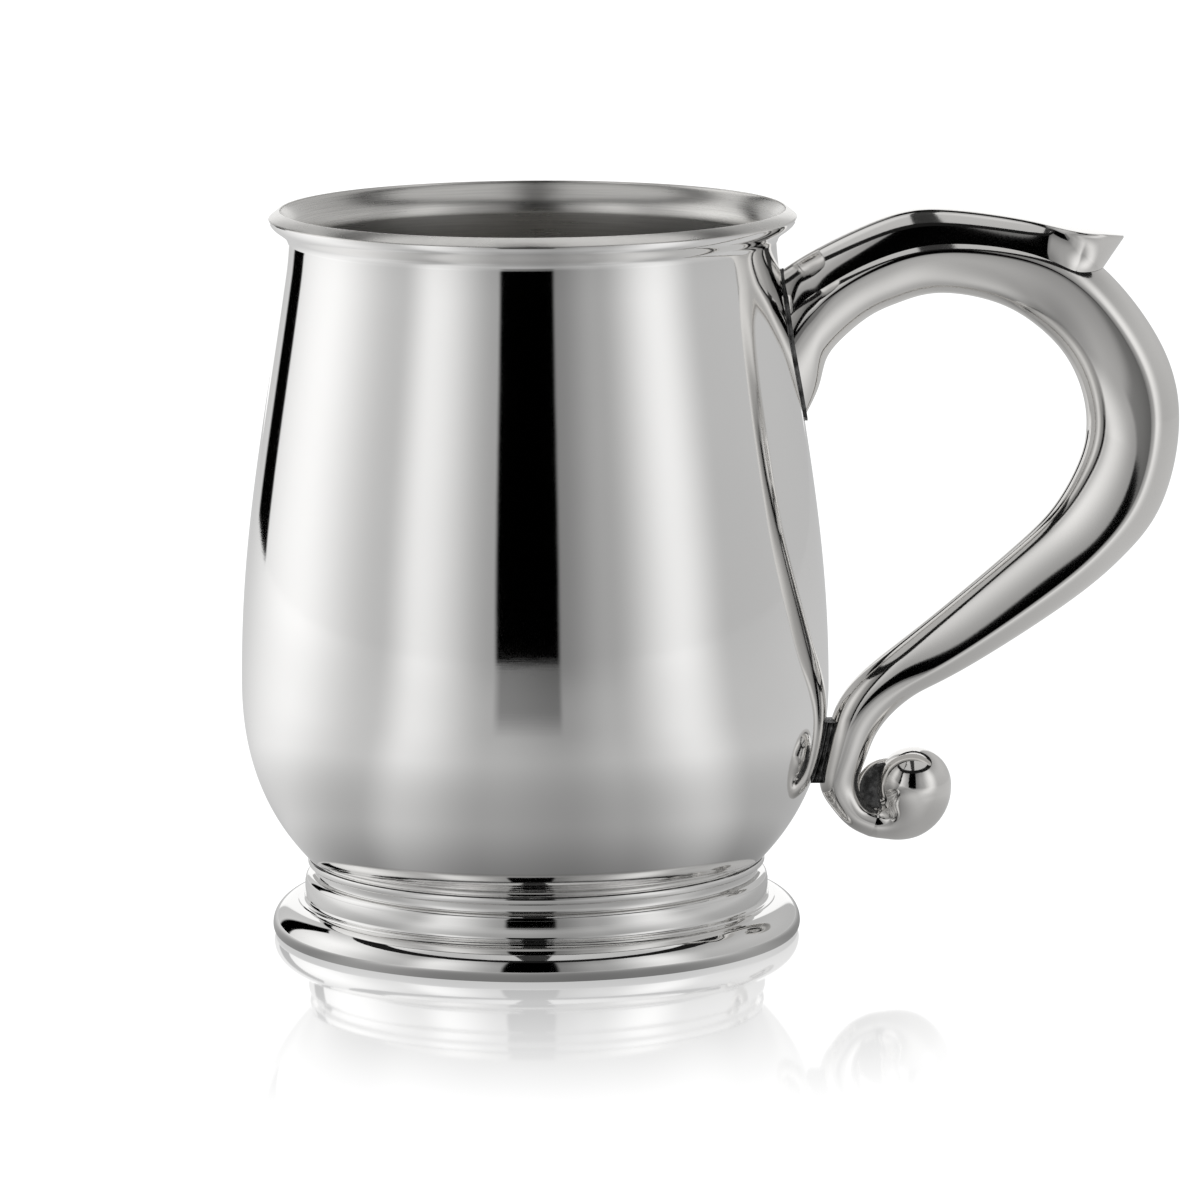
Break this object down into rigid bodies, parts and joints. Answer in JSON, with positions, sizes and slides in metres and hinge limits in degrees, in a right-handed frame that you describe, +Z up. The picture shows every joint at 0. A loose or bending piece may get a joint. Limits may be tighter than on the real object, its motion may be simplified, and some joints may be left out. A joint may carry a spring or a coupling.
{
  "type": "tankard",
  "caption": "Bellied metal drinking tankard with a flared lip, stepped foot ring and hollow scroll handle with a thumb leaf and ball end.",
  "frame": {"origin": "centre of the resting ring, on the surface that the tankard stands on", "axes": "+Z up along the bowl's axis, +X towards the handle, +Y across the handle"},
  "size_m": [0.1511, 0.0948, 0.1174],
  "materials": {
    "polished_pewter": "mirror polished pewter",
    "brushed_pewter": "pewter brushed round the bowl's inside and lip",
    "turned_pewter": "turned and polished pewter",
    "cast_pewter": "cast pewter, hand polished to a soft gloss",
    "solder": "dull rough solder"
  },
  "bodies": {
    "root": {"body_shell": "polished_pewter", "foot_ring": "turned_pewter", "foot_solder_seam": "solder", "handle_near_half": "cast_pewter", "handle_far_half": "cast_pewter", "thumb_leaf": "cast_pewter", "scroll_ball": "cast_pewter", "upper_joint_solder": "solder", "lower_joint_solder": "solder"}
  },
  "joints": []
}
